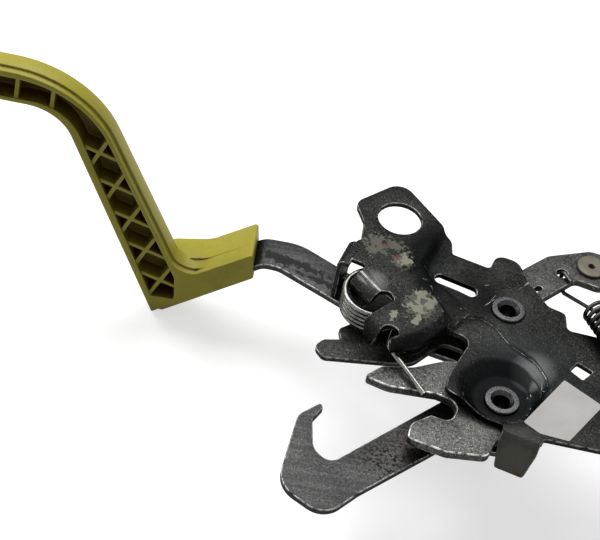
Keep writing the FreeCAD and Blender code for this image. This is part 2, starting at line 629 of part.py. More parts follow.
def make_claw_spring():
    """Coil round the drum tab: fixed leg through the side flap, working leg down to the claw's slot."""
    wire_r = CLAW_WIRE / 2.0
    top = EAR_RISE - SHEET - SPRING_CLEAR - wire_r
    low = claw_spring_low()
    pitch = (top - low) / CLAW_COIL_TURNS
    body = coil(CLAW_COIL_R, wire_r, pitch, CLAW_COIL_TURNS, -1)
    body.rotate(V(0, 0, 0), V(0, 0, 1), 90.0)
    body.translate(V(CLAW_COIL_X, CLAW_COIL_Y, low))
    right = CLAW_COIL_X + CLAW_COIL_R
    rest = CLAW_TOP + SPRING_CLEAR + wire_r
    work = stem([
        (right, CLAW_COIL_Y, top), (NOTCH_X + 0.7, NOTCH_Y, -2.4, 2.5), (-24.2, -8.9, rest)], wire_r)
    back = CLAW_COIL_Y + CLAW_COIL_R
    fixed = stem([(CLAW_COIL_X, back, low), (CLAW_LEG_END, back, low)], wire_r)
    return body.fuse(work).fuse(fixed)


def make_pawl_spring():
    wire_r = PAWL_WIRE / 2.0
    eye = V(EYE_X, EYE_Y, (PAWL_TOP + PAWL_ARM_LOW) / 2.0)
    anchor = V(ANCHOR_X, ANCHOR_Y, -SHEET / 2.0)
    lift = PAWL_COIL_R + wire_r + SPRING_CLEAR
    start = V(EYE_X + 12.6, EYE_Y - 17.6, lift)
    finish = V(ANCHOR_X - 2.0, ANCHOR_Y + 4.6, lift)
    way = (finish - start).normalize()
    length = PAWL_COIL_PITCH * PAWL_COIL_TURNS
    middle = (start + finish) * 0.5
    base = middle - way * (length / 2.0)
    body = coil(PAWL_COIL_R, wire_r, PAWL_COIL_PITCH, PAWL_COIL_TURNS, 1)
    body.Placement = FreeCAD.Placement(base, FreeCAD.Rotation(V(0, 0, 1), way))
    turn = FreeCAD.Rotation(V(0, 0, 1), way)
    first = base + turn.multVec(V(PAWL_COIL_R, 0, 0))
    last = first + way * length
    hook = stem([
        (first.x, first.y, first.z), (eye.x + 3.0, eye.y - 5.0, PAWL_ARM_LOW - 1.1, 2.0),
        (eye.x, eye.y, PAWL_ARM_LOW - 1.1, 1.0), (eye.x, eye.y, PAWL_TOP + 1.1, 1.0),
        (eye.x + 4.0, eye.y - 3.8, PAWL_TOP + 1.1)], wire_r)
    tail = stem([
        (last.x, last.y, last.z), (anchor.x, anchor.y, last.z, 1.2), (anchor.x, anchor.y, -SHEET - 1.0)], wire_r)
    return body.fuse(hook).fuse(tail)


def make_label():
    edge = [(16.4, 15.4, 0.6), (31.0, 10.8, 0.6), (24.6, -9.0, 0.6), (15.2, -10.6, 0.6), (9.0, -8.6, 0.6)]
    return slab(edge, 0.0, 0.15)


def export(shape, name):
    moved = shape.copy()
    moved.translate(V(-EAR_X, -EAR_Y, SHEET - EAR_RISE))
    moved.exportStep("parts/" + name + ".step")


NODES = {
    "cover_plate": make_cover(),
    "claw_rivet": make_claw_rivet(),
    "pawl_rivet": make_pawl_rivet(),
    "claw": make_claw(),
    "base_plate": make_base(),
    "pawl_lever": make_pawl(),
    "cable_bush": make_bush(),
    "safety_lever": make_lever(),
    "lever_bush": ring(0, 0, SHOULDER_R, NECK_R, WASHER_TOP, BASE_LOW),
    "lever_washer": ring(0, 0, CLAW_HUB_R - 4.0, NECK_R, WASHER_LOW, WASHER_TOP),
    "handle": make_handle(),
    "claw_spring": make_claw_spring(),
    "pawl_spring": make_pawl_spring(),
    "label": make_label(),
}
for name, shape in NODES.items():
    print(name, "solids", len(shape.Solids), "valid", shape.isValid(), "volume", round(shape.Volume, 1))
    export(shape, name)
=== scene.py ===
import math

import bmesh
import bpy
from mathutils import Matrix, Vector
from mathutils.bvhtree import BVHTree
from mathutils.kdtree import KDTree


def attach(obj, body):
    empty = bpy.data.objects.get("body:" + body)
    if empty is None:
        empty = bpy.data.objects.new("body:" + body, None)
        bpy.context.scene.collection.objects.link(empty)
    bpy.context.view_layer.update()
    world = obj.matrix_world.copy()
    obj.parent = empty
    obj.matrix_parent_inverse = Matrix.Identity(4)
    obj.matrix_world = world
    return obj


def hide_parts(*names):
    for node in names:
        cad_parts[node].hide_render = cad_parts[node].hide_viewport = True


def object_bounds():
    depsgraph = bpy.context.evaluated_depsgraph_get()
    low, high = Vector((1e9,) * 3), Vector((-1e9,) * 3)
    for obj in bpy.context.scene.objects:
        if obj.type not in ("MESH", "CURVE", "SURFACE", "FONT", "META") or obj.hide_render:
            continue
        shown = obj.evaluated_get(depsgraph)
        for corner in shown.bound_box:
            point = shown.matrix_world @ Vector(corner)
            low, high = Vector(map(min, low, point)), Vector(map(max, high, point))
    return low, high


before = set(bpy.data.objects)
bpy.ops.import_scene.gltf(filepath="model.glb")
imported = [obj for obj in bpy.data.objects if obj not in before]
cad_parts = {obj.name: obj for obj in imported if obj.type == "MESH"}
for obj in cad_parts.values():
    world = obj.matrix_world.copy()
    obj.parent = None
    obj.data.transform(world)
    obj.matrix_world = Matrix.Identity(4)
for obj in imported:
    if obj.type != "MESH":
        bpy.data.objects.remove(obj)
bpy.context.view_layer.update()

MM = 0.001

# Places on the latch, in millimetres from the claw's pivot at the cover's upper flat
PIVOT_SHIFT = Vector((57.6, -56.2, -2.0))


def at(x, y, z=0.0):
    """A point of the latch in the frame, in metres."""
    return (Vector((x, y, z)) + PIVOT_SHIFT) * MM


# Small helpers for node trees
def add(tree, kind, inputs=None, **settings):
    """A node with its settings, and its inputs either linked or set."""
    made = tree.nodes.new(kind)
    for key, value in settings.items():
        setattr(made, key, value)
    for key, value in (inputs or {}).items():
        if isinstance(value, bpy.types.NodeSocket):
            tree.links.new(value, made.inputs[key])
        else:
            made.inputs[key].default_value = value
    return made


def calc(tree, operation, a, b=0.0, clamp=False):
    """The result of an operation on two numbers or sockets."""
    made = tree.nodes.new("ShaderNodeMath")
    made.operation = operation
    made.use_clamp = clamp
    for index, value in enumerate((a, b)):
        if isinstance(value, bpy.types.NodeSocket):
            tree.links.new(value, made.inputs[index])
        else:
            made.inputs[index].default_value = value
    return made.outputs[0]


def blend_colour(tree, amount, first, second):
    """A colour that goes from the first to the second with the amount."""
    made = tree.nodes.new("ShaderNodeMix")
    made.data_type = "RGBA"
    made.clamp_factor = True
    for index, value in ((0, amount), (6, first), (7, second)):
        if isinstance(value, bpy.types.NodeSocket):
            tree.links.new(value, made.inputs[index])
        elif index == 0:
            made.inputs[index].default_value = value
        else:
            made.inputs[index].default_value = (*value, 1.0)
    return made.outputs[2]


def remap(tree, value, low, high, to_low=0.0, to_high=1.0):
    """A value moved from one range to another and kept inside it."""
    return add(tree, "ShaderNodeMapRange", {
        "Value": value, "From Min": low, "From Max": high,
        "To Min": to_low, "To Max": to_high}).outputs[0]


def mix_number(tree, amount, first, second):
    """A number that goes from the first value to the second with the amount."""
    kept = calc(tree, "MULTIPLY", first, calc(tree, "SUBTRACT", 1.0, amount))
    return calc(tree, "ADD", kept, calc(tree, "MULTIPLY", amount, second))


def vector(tree, operation, *values):
    """A vector operation on one or two values."""
    return add(tree, "ShaderNodeVectorMath", dict(enumerate(values)), operation=operation)


def here(tree):
    """The place on the piece, in its own coordinates."""
    return add(tree, "ShaderNodeTexCoord").outputs["Object"]


def noise(tree, place, scale, detail, roughness):
    """Plain noise at a place."""
    return add(tree, "ShaderNodeTexNoise", {
        "Vector": place, "Scale": scale, "Detail": detail, "Roughness": roughness}).outputs[0]


def new_group(name, inputs, outputs):
    """Shader group with named inputs (name, kind, value) and outputs (name, kind)."""
    tree = bpy.data.node_groups.new(name, "ShaderNodeTree")
    for title, kind, value in inputs:
        made = tree.interface.new_socket(title, in_out="INPUT", socket_type=kind)
        made.default_value = value
    for title, kind in outputs:
        tree.interface.new_socket(title, in_out="OUTPUT", socket_type=kind)
    given = tree.nodes.new("NodeGroupInput").outputs
    return tree, given, tree.nodes.new("NodeGroupOutput").inputs


NUMBER = "NodeSocketFloat"
PLACE = "NodeSocketVector"
# How sharply a fleck or a speck starts
DOT_EDGE = 14.0
SPECK_EDGE = 18.0


def make_mottle_group():
    """Tone of rolled and coated steel: broad cloud, fine grain, dark flecks, bright glints."""
    tree, given, out = new_group("mottle", [
        ("Scale", NUMBER, 300.0), ("Fleck amount", NUMBER, 0.5), ("Glint amount", NUMBER, 0.5)],
        [("Cloud", NUMBER), ("Grain", NUMBER), ("Flecks", NUMBER), ("Glints", NUMBER)])
    spot = here(tree)

    def layer(share, detail, roughness, shift):
        moved = vector(tree, "ADD", spot, (shift, shift, shift)).outputs[0]
        scale = calc(tree, "MULTIPLY", given["Scale"], share)
        return noise(tree, moved, scale, detail, roughness)

    def dots(value, top, reach, amount):
        edge = calc(tree, "SUBTRACT", top, calc(tree, "MULTIPLY", amount, reach))
        return calc(tree, "MULTIPLY", calc(tree, "SUBTRACT", value, edge), DOT_EDGE, clamp=True)

    flecks = dots(layer(5.6, 3.0, 0.65, 1.7), 0.74, 0.24, given["Fleck amount"])
    glints = dots(layer(6.4, 2.0, 0.6, 3.1), 0.76, 0.22, given["Glint amount"])
    tree.links.new(remap(tree, layer(0.35, 4.0, 0.6, 0.0), 0.34, 0.66), out["Cloud"])
    tree.links.new(remap(tree, layer(4.6, 4.0, 0.8, 0.0), 0.42, 0.58), out["Grain"])
    tree.links.new(flecks, out["Flecks"])
    tree.links.new(glints, out["Glints"])
    return tree


# Face attribute that marks an eased edge for the group of worn edges and painted sheen
RUBBED_AND_SHEEN = "rubbed_and_sheen"
# Share of that wear and painted sheen on creases that are only found by their turn
CREASE_WEAR_AND_SHEEN = 0.2


def make_worn_edge_and_sheen_group():
    """Where handling and rubbing have polished an edge, lighter partly from that wear and partly as
    a painted sheen.
    """
    tree, given, out = new_group("worn_edge_and_sheen", [
        ("Reach", NUMBER, 0.0006), ("Breakup", NUMBER, 400.0), ("Amount", NUMBER, 1.0)],
        [("Mask", NUMBER)])
    rounded = add(tree, "ShaderNodeBevel", {"Radius": given["Reach"]}, samples=6)
    flat = add(tree, "ShaderNodeNewGeometry").outputs["Normal"]
    same = vector(tree, "DOT_PRODUCT", rounded.outputs[0], flat)
    turned = remap(tree, same.outputs["Value"], 0.995, 0.80)
    kept = remap(tree, noise(tree, here(tree), given["Breakup"], 4.0, 0.6), 0.38, 0.56)
    rubbed_and_sheen = add(tree, "ShaderNodeAttribute", attribute_name=RUBBED_AND_SHEEN).outputs["Fac"]
    both = calc(tree, "MAXIMUM", rubbed_and_sheen, calc(tree, "MULTIPLY", turned, CREASE_WEAR_AND_SHEEN))
    mask = calc(tree, "MULTIPLY", calc(tree, "MULTIPLY", both, kept), given["Amount"], clamp=True)
    tree.links.new(mask, out["Mask"])
    return tree


def make_cavity_shade_group():
    """Painted shade in corners and hollows, found by ambient occlusion."""
    tree, given, out = new_group("cavity_shade", [
        ("Reach", NUMBER, 0.004), ("Strength", NUMBER, 1.0)], [("Mask", NUMBER)])
    shade = add(tree, "ShaderNodeAmbientOcclusion", {"Distance": given["Reach"]}, samples=8)
    closed = calc(tree, "SUBTRACT", 1.0, shade.outputs["AO"])
    tree.links.new(calc(tree, "MULTIPLY", closed, given["Strength"], clamp=True), out["Mask"])
    return tree


# Share of a patch's radius at which it has half faded
PATCH_EDGE = 0.95


def make_patch_group():
    """A ragged patch round a place, such as a stain, a smear or an area of painted shade."""
    tree, given, out = new_group("patch", [
        ("Centre", PLACE, (0.0, 0.0, 0.0)), ("Radius", NUMBER, 0.004), ("Ragged", NUMBER, 0.5),
        ("Stretch", PLACE, (1.0, 1.0, 1.0)), ("Breakup", NUMBER, 250.0),
        ("Softness", NUMBER, 0.1)], [("Mask", NUMBER)])
    spot = here(tree)
    away = vector(tree, "SUBTRACT", spot, given["Centre"]).outputs[0]
    drawn = vector(tree, "MULTIPLY", away, given["Stretch"]).outputs[0]
    far = vector(tree, "LENGTH", drawn).outputs["Value"]
    share = calc(tree, "DIVIDE", far, given["Radius"])
    rough = calc(tree, "SUBTRACT", noise(tree, spot, given["Breakup"], 5.0, 0.6), 0.5)
    push = calc(tree, "MULTIPLY", rough, calc(tree, "MULTIPLY", given["Ragged"], 4.0))
    high = calc(tree, "ADD", PATCH_EDGE, given["Softness"])
    low = calc(tree, "SUBTRACT", PATCH_EDGE, given["Softness"])
    tree.links.new(remap(tree, calc(tree, "ADD", share, push), high, low), out["Mask"])
    return tree


def make_streak_group():
    """Long fine streaks along one direction, as rolling and sliding leave."""
    tree, given, out = new_group("streak", [
        ("Turn", PLACE, (0.0, 0.0, 0.0)), ("Stretch", PLACE, (60.0, 900.0, 900.0))],
        [("Mask", NUMBER)])
    turned = add(tree, "ShaderNodeVectorRotate", {
        "Vector": here(tree), "Rotation": given["Turn"]}, rotation_type="EULER_XYZ")
    drawn = vector(tree, "MULTIPLY", turned.outputs[0], given["Stretch"]).outputs[0]
    tree.links.new(remap(tree, noise(tree, drawn, 1.0, 4.0, 0.6), 0.36, 0.66), out["Mask"])
    return tree


def make_spray_group():
    """Small crisp specks, as splashed grease and rust leave."""
    tree, given, out = new_group("spray", [
        ("Size", NUMBER, 0.0006), ("Amount", NUMBER, 0.5)], [("Mask", NUMBER)])
    grain = noise(tree, here(tree), calc(tree, "DIVIDE", 1.0, given["Size"]), 2.0, 0.6)
    edge = calc(tree, "SUBTRACT", 0.72, calc(tree, "MULTIPLY", given["Amount"], 0.24))
    above = calc(tree, "SUBTRACT", grain, edge)
    tree.links.new(calc(tree, "MULTIPLY", above, SPECK_EDGE, clamp=True), out["Mask"])
    return tree


MOTTLE = make_mottle_group()
SPRAY = make_spray_group()
WORN_EDGE_AND_SHEEN = make_worn_edge_and_sheen_group()
CAVITY_SHADE = make_cavity_shade_group()
PATCH = make_patch_group()
STREAK = make_streak_group()


def use(tree, group, **values):
    """Place a shared group, with its named inputs written with underscores."""
    made = tree.nodes.new("ShaderNodeGroup")
    made.node_tree = group
    for key, value in values.items():
        title = key.replace("_", " ")
        if isinstance(value, bpy.types.NodeSocket):
            tree.links.new(value, made.inputs[title])
        else:
            made.inputs[title].default_value = value
    return made.outputs


def new_material(name):
    """A material with its node tree and its main shader."""
    made = bpy.data.materials.new(name)
    made.use_nodes = True
    tree = made.node_tree
    return made, tree, tree.nodes["Principled BSDF"]


def patches(tree, places, ragged, breakup, softness=0.1):
    """The union of several ragged patches, each (place, radius, stretch)."""
    whole = None
    for place, radius, stretch in places:
        mask = use(tree, PATCH, Centre=place, Radius=radius * MM, Ragged=ragged,
                   Stretch=stretch, Breakup=breakup, Softness=softness)["Mask"]
        whole = mask if whole is None else calc(tree, "MAXIMUM", whole, mask)
    return whole


ROUND = (1.0, 1.0, 1.0)
# Raggedness, breakup and softness of a painted shade area, a speckled region and an oily film
SHADE_PATCH_EDGE = (0.06, 180.0, 0.42)
SPECK_REGION = (0.1, 180.0, 0.5)
FILM_EDGE = (0.04, 120.0, 0.4)
FILM_WEIGHT = 0.45
CLOUD_SHARE = 0.3
WORN_POLISH = 0.14
FLECK = (0.004, 0.004, 0.0038)
# Colour of the painted shade in hollows
HOLLOW_SHADE_COLOUR = (0.003, 0.003, 0.0028)


def make_steel(name, dark, light, fleck=0.4, glint=0.4, glint_colour=(0.24, 0.24, 0.22),
               scale=300.0, metallic=0.85, rough=(0.36, 0.52), wear_and_sheen=0.8, wear_and_sheen_reach=0.6,
               wear_and_sheen_colour=(0.42, 0.42, 0.40), cavity_shade=0.9, cavity_shade_reach=4.0, streak=None,
               film=(), drawn=(), specks=(), stains=(), grain_height=0.00004):
    """Coated or bare sheet steel: mottling, worn edges and painted sheen, painted shade, stains."""
    made, tree, shader = new_material(name)
    tone = use(tree, MOTTLE, Scale=scale, Fleck_amount=fleck, Glint_amount=glint)
    both = calc(tree, "ADD", calc(tree, "MULTIPLY", tone["Cloud"], CLOUD_SHARE),
                calc(tree, "MULTIPLY", tone["Grain"], 1.0 - CLOUD_SHARE))
    colour = blend_colour(tree, both, dark, light)
    colour = blend_colour(tree, tone["Flecks"], colour, FLECK)
    colour = blend_colour(tree, tone["Glints"], colour, glint_colour)
    coarse = remap(tree, both, 0.0, 1.0, *rough)
    if streak:
        turn, stretch, tint, amount = streak
        line = use(tree, STREAK, Turn=turn, Stretch=stretch)["Mask"]
        colour = blend_colour(tree, calc(tree, "MULTIPLY", line, amount), colour, tint)
    # Patches of painted shade, and lighter patches, laid over the steel's tone
    for places, tint, amount, roughness in drawn:
        mask = patches(tree, places, *SHADE_PATCH_EDGE)
        mask = calc(tree, "MULTIPLY", mask, amount, clamp=True)
        colour = blend_colour(tree, mask, colour, tint)
        coarse = mix_number(tree, mask, coarse, roughness)
    # Edges lighter, partly worn and partly a painted sheen
    edge = use(tree, WORN_EDGE_AND_SHEEN, Reach=wear_and_sheen_reach * MM, Breakup=420.0, Amount=wear_and_sheen)["Mask"]
    colour = blend_colour(tree, edge, colour, wear_and_sheen_colour)
    coarse = calc(tree, "SUBTRACT", coarse, calc(tree, "MULTIPLY", edge, WORN_POLISH))
    metal = calc(tree, "MAXIMUM", metallic, calc(tree, "MULTIPLY", edge, 0.95))
    for places, tint, ragged, breakup, amount, roughness in stains:
        mask = patches(tree, places, ragged, breakup)
        mask = calc(tree, "MULTIPLY", mask, amount, clamp=True)
        colour = blend_colour(tree, mask, colour, tint)
        coarse = mix_number(tree, mask, coarse, roughness)
        metal = calc(tree, "MULTIPLY", metal, calc(tree, "SUBTRACT", 1.0, mask))
    for places, tint, amount, size in specks:
        region = patches(tree, places, *SPECK_REGION)
        spray = use(tree, SPRAY, Size=size * MM, Amount=amount)["Mask"]
        colour = blend_colour(tree, calc(tree, "MULTIPLY", region, spray), colour, tint)
    # Painted shade in the hollows
    hollow_shade = use(tree, CAVITY_SHADE, Reach=cavity_shade_reach * MM, Strength=cavity_shade)["Mask"]
    colour = blend_colour(tree, hollow_shade, colour, HOLLOW_SHADE_COLOUR)
    bump = add(tree, "ShaderNodeBump", {
        "Height": tone["Grain"], "Strength": 0.6, "Distance": grain_height})
    tree.links.new(colour, shader.inputs["Base Color"])
    tree.links.new(coarse, shader.inputs["Roughness"])
    tree.links.new(metal, shader.inputs["Metallic"])
    tree.links.new(bump.outputs[0], shader.inputs["Normal"])
    if film:
        oily = calc(tree, "MULTIPLY", patches(tree, film, *FILM_EDGE), FILM_WEIGHT)
        tree.links.new(oily, shader.inputs["Coat Weight"])
        shader.inputs["Coat Roughness"].default_value = 0.16
    shader.inputs["Specular Tint"].default_value = (0.35, 0.35, 0.35, 1.0)
    shader.inputs["Specular IOR Level"].default_value = 0.25
    return made


# Dried glue on the ear and the plateau, and the specks in it
GLUE = [
    (at(-49.6, 37.4, 4), 2.4, (0.9, 1.0, 1.0)), (at(-38.6, 24.2, 4), 2.0, ROUND),
    (at(-34.4, 22.4, 4), 2.6, (1.3, 0.9, 1.0)), (at(-38.0, 17.6, 4), 3.2, (0.9, 1.6, 1.0)),
    (at(-43.9, 10.9, 4), 1.9, (1.7, 0.8, 1.0)), (at(-36.2, 12.2, 4), 2.2, (1.5, 0.9, 1.0)),
    (at(-38.4, 20.8, 4), 1.4, (1.6, 0.8, 1.0)),
]
THIN_GLUE = [
    (at(-60.5, 41.6, 4), 3.4, (0.8, 1.25, 1.0)), (at(-55.0, 41.2, 4), 3.2, (0.75, 1.2, 1.0)),
    (at(-57.8, 40.6, 4), 6.2, (0.8, 1.6, 1.0)), (at(-50.0, 36.6, 4), 3.6, ROUND),
    (at(-37.4, 19.6, 4), 5.0, (1.1, 0.8, 1.0)), (at(-60.6, 36.6, 4), 2.2, ROUND),
]
RED_SPECKS = [(at(-57.8, 41.4, 4), 1.7, ROUND), (at(-51.9, 37.4, 4), 1.5, (0.8, 1.1, 1.0))]
BLACK_SPECKS = [(at(-54.2, 38.8, 4), 1.9, (0.7, 1.3, 1.0)), (at(-58.4, 42.0, 4), 1.1, ROUND)]


def make_dark_plate():
    """Phosphated cover: speckled, painted shade on slopes and recess, dried glue on the ear."""
    return make_steel(
        "dark_plate", (0.0025, 0.0027, 0.0025), (0.030, 0.0315, 0.0295), fleck=0.5, glint=0.52,
        glint_colour=(0.125, 0.125, 0.115), scale=300.0, rough=(0.34, 0.50), wear_and_sheen=0.9,
        wear_and_sheen_reach=0.55, wear_and_sheen_colour=(0.17, 0.17, 0.16), cavity_shade_reach=5.0,
        film=[(at(6.3, 15.8, -4), 6.5, ROUND), (at(-55.9, 22.3, 2), 5.0, ROUND)],
        drawn=[
            # painted shade on the ear's slopes and the plateau's right side
            ([(at(-44.0, 45.0, 4), 14.0, (2.0, 0.9, 1.0)),
              (at(-39.0, 33.0, 3), 8.0, (1.5, 0.9, 1.0))],
             (0.0018, 0.0021, 0.0023), 0.92, 0.34),
            ([(at(-21.0, 36.0, 1), 10.0, (1.0, 1.0, 1.0))], (0.003, 0.0032, 0.003), 0.8, 0.34),
            # painted shade round the recess
            ([(at(3.0, 16.0, 0), 15.0, (1.0, 1.1, 1.0)), (at(14.0, 8.0, 0), 10.0, ROUND)],
             (0.011, 0.0117, 0.0125), 0.8, 0.28),
            ([(at(-30.0, 2.0, 0), 12.0, (1.0, 1.5, 1.0))], (0.004, 0.004, 0.004), 0.85, 0.34),
            # painted shade in the recess itself, and a lighter patch on the bottom tab
            ([(at(-1.0, 2.0, -2), 16.5, ROUND)], (0.002, 0.0022, 0.0025), 0.97, 0.22),
            ([(at(10.2, -17.5, -8), 8.5, ROUND)], (0.052, 0.052, 0.044), 0.9, 0.4),
        ],
        stains=[
            (THIN_GLUE, (0.120, 0.120, 0.096), 0.90, 800.0, 0.65, 0.7),
            (GLUE, (0.230, 0.230, 0.170), 0.95, 620.0, 0.85, 0.6),
            (RED_SPECKS, (0.10, 0.030, 0.026), 0.9, 1900.0, 0.75, 0.5),
            (BLACK_SPECKS, (0.004, 0.004, 0.004), 0.9, 1900.0, 0.95, 0.5),
            ([(at(12.3, -17.2, -13), 1.5, (0.8, 1.0, 1.0))],
             (0.13, 0.060, 0.015), 0.7, 900.0, 0.7, 0.6),
        ])


def make_claw_steel():
    """Bare blasted steel with bright edges, partly worn and partly a painted sheen."""
    return make_steel(
        "claw_steel", (0.010, 0.0105, 0.010), (0.115, 0.117, 0.108), fleck=0.55, glint=0.6,
        glint_colour=(0.36, 0.36, 0.33), scale=300.0, rough=(0.34, 0.5), wear_and_sheen=1.0, wear_and_sheen_reach=0.9,
        wear_and_sheen_colour=(0.62, 0.62, 0.58))


def make_lever_steel():
    """Rolled steel with streaks along the bar, dark stains and rust specks."""
    bar_turn = (0.0, 0.0, -math.radians(196.0))
    return make_steel(
        "lever_steel", (0.016, 0.0165, 0.016), (0.080, 0.082, 0.080), fleck=0.36, glint=0.3,
        glint_colour=(0.26, 0.26, 0.25), scale=260.0, rough=(0.32, 0.46), wear_and_sheen=0.9, wear_and_sheen_reach=0.7,
        wear_and_sheen_colour=(0.34, 0.34, 0.33),
        streak=(bar_turn, (25.0, 700.0, 700.0), (0.016, 0.016, 0.0155), 0.6),
        stains=[
            ([(at(-88.0, 34.5, -14.8), 4.2, (0.30, 2.3, 1.0)),
              (at(-72.0, 30.8, -14.8), 3.4, (0.25, 2.6, 1.0)),
              (at(-92.5, 33.0, -14.8), 2.4, (0.5, 1.6, 1.0))],
             (0.006, 0.006, 0.006), 0.9, 420.0, 0.9, 0.5),
        ],
        specks=[
            ([(at(-19.0, -21.0, -14.8), 10.0, ROUND), (at(-27.5, -33.0, -14.8), 9.0, ROUND)],
             (0.005, 0.004, 0.0035), 0.85, 0.9),
            ([(at(-24.0, -26.0, -14.8), 9.0, ROUND)], (0.075, 0.034, 0.020), 0.5, 0.6),
        ])


def make_base_steel():
    """The darker plate below the claw."""
    return make_steel(
        "base_steel", (0.006, 0.0064, 0.0058), (0.045, 0.047, 0.042), fleck=0.5, glint=0.5,
        glint_colour=(0.16, 0.16, 0.145), scale=280.0, rough=(0.38, 0.55), wear_and_sheen=0.9, wear_and_sheen_reach=0.6,
        wear_and_sheen_colour=(0.20, 0.20, 0.19))


def make_pawl_steel():
    """The release lever, between the base plate and the claw in tone."""
    return make_steel(
        "pawl_steel", (0.010, 0.0105, 0.0095), (0.080, 0.082, 0.076), fleck=0.5, glint=0.5,
        glint_colour=(0.24, 0.24, 0.22), scale=280.0, rough=(0.38, 0.55), wear_and_sheen=0.9, wear_and_sheen_reach=0.6,
        wear_and_sheen_colour=(0.28, 0.28, 0.26))


def make_rivet_steel():
    """Dark polished rivet heads, with bright rings at their edges, partly wear and partly painted
    highlight.
    """
    return make_steel(
        "rivet_steel", (0.015, 0.015, 0.0155), (0.075, 0.075, 0.077), fleck=0.15, glint=0.2,
        glint_colour=(0.3, 0.3, 0.3), scale=420.0, metallic=0.95, rough=(0.20, 0.34), wear_and_sheen=1.2,
        wear_and_sheen_reach=0.5, wear_and_sheen_colour=(0.46, 0.46, 0.45), cavity_shade=1.1, cavity_shade_reach=5.0,
        grain_height=0.00002)


def make_bright_wire():
    """The claw spring's plain drawn wire."""
    return make_steel(
        "bright_wire", (0.06, 0.06, 0.055), (0.27, 0.27, 0.25), fleck=0.2, glint=0.1, scale=420.0,
        metallic=0.95, rough=(0.14, 0.26), wear_and_sheen=0.0, cavity_shade=1.1, cavity_shade_reach=2.5,
        grain_height=0.00001)


def make_dark_wire():
    """The release lever's oiled spring."""
    return make_steel(
        "dark_wire", (0.015, 0.0145, 0.014), (0.10, 0.097, 0.090), fleck=0.3, glint=0.1,
        scale=500.0, metallic=0.9, rough=(0.20, 0.34), wear_and_sheen=0.0, cavity_shade=1.0, cavity_shade_reach=2.0,
        grain_height=0.00001)


def make_yellow_plastic():
    """Moulded handle: even colour, painted brown shade in the pockets, with soiled marks."""
    made, tree, shader = new_material("yellow_plastic")
    tone = use(tree, MOTTLE, Scale=90.0, Fleck_amount=0.25, Glint_amount=0.0)
    colour = blend_colour(tree, tone["Cloud"], (0.300, 0.266, 0.020), (0.345, 0.308, 0.030))
    soil = remap(tree, noise(tree, here(tree), 55.0, 6.0, 0.7), 0.56, 0.72)
    colour = blend_colour(tree, calc(tree, "MULTIPLY", soil, 0.4), colour, (0.17, 0.120, 0.018))
    spots = calc(tree, "MULTIPLY", tone["Flecks"], 0.4)
    colour = blend_colour(tree, spots, colour, (0.10, 0.070, 0.012))
    # Lighter edges, partly wear and partly a painted sheen
    edge = use(tree, WORN_EDGE_AND_SHEEN, Reach=0.8 * MM, Breakup=300.0, Amount=0.4)["Mask"]
    colour = blend_colour(tree, edge, colour, (0.52, 0.48, 0.11))
    # Painted brown shade in the pockets and hollows
    hollow_shade = use(tree, CAVITY_SHADE, Reach=10.0 * MM, Strength=1.35)["Mask"]
    colour = blend_colour(tree, hollow_shade, colour, (0.072, 0.036, 0.006))
    bump = add(tree, "ShaderNodeBump", {
        "Height": tone["Grain"], "Strength": 0.3, "Distance": 0.00004})
    tree.links.new(colour, shader.inputs["Base Color"])
    tree.links.new(remap(tree, tone["Cloud"], 0.0, 1.0, 0.40, 0.52), shader.inputs["Roughness"])
    tree.links.new(bump.outputs[0], shader.inputs["Normal"])
    shader.inputs["Specular IOR Level"].default_value = 0.22
    return made


def make_cream_plastic():
    """Aged natural plastic of the bush."""
    made, tree, shader = new_material("cream_plastic")
    tone = use(tree, MOTTLE, Scale=260.0, Fleck_amount=0.3, Glint_amount=0.0)
    colour = blend_colour(tree, tone["Cloud"], (0.10, 0.092, 0.060), (0.165, 0.152, 0.105))
    # Painted shade in the hollows
    hollow_shade = use(tree, CAVITY_SHADE, Reach=2.5 * MM, Strength=0.8)["Mask"]
    colour = blend_colour(tree, hollow_shade, colour, (0.04, 0.033, 0.018))
    tree.links.new(colour, shader.inputs["Base Color"])
    shader.inputs["Roughness"].default_value = 0.38
    shader.inputs["Specular IOR Level"].default_value = 0.25
    shader.inputs["Subsurface Weight"].default_value = 0.15
    shader.inputs["Subsurface Scale"].default_value = 0.002
    return made


def make_label_paper():
    """Bare pale paper."""
    made, tree, shader = new_material("label_paper")
    tone = use(tree, MOTTLE, Scale=200.0, Fleck_amount=0.2, Glint_amount=0.0)
    colour = blend_colour(tree, tone["Cloud"], (0.41, 0.395, 0.38), (0.48, 0.47, 0.455))
    spots = calc(tree, "MULTIPLY", tone["Flecks"], 0.3)
    colour = blend_colour(tree, spots, colour, (0.3, 0.28, 0.25))
    tree.links.new(colour, shader.inputs["Base Color"])
    shader.inputs["Roughness"].default_value = 0.75
    shader.inputs["Specular IOR Level"].default_value = 0.1
    return made


FINISH = {
    "dark_plate": make_dark_plate(),
    "claw_steel": make_claw_steel(),
    "lever_steel": make_lever_steel(),
    "base_steel": make_base_steel(),
    "pawl_steel": make_pawl_steel(),
    "rivet_steel": make_rivet_steel(),
    "bright_wire": make_bright_wire(),
    "dark_wire": make_dark_wire(),
    "yellow_plastic": make_yellow_plastic(),
    "cream_plastic": make_cream_plastic(),
    "label_paper": make_label_paper(),
}


# Flat triangles are joined up to this angle before the edges are chosen
FLAT_ANGLE = 0.5
EASE_TRIES = 8
# Shares of the easing's width: how far a point may leave the old surface, how far a stray
# point still counts as near, and round it how far no edge is eased
STRAY_SHARE = 0.5
NEAR_SHARE = 3.0
CLEAR_SHARE = 1.3


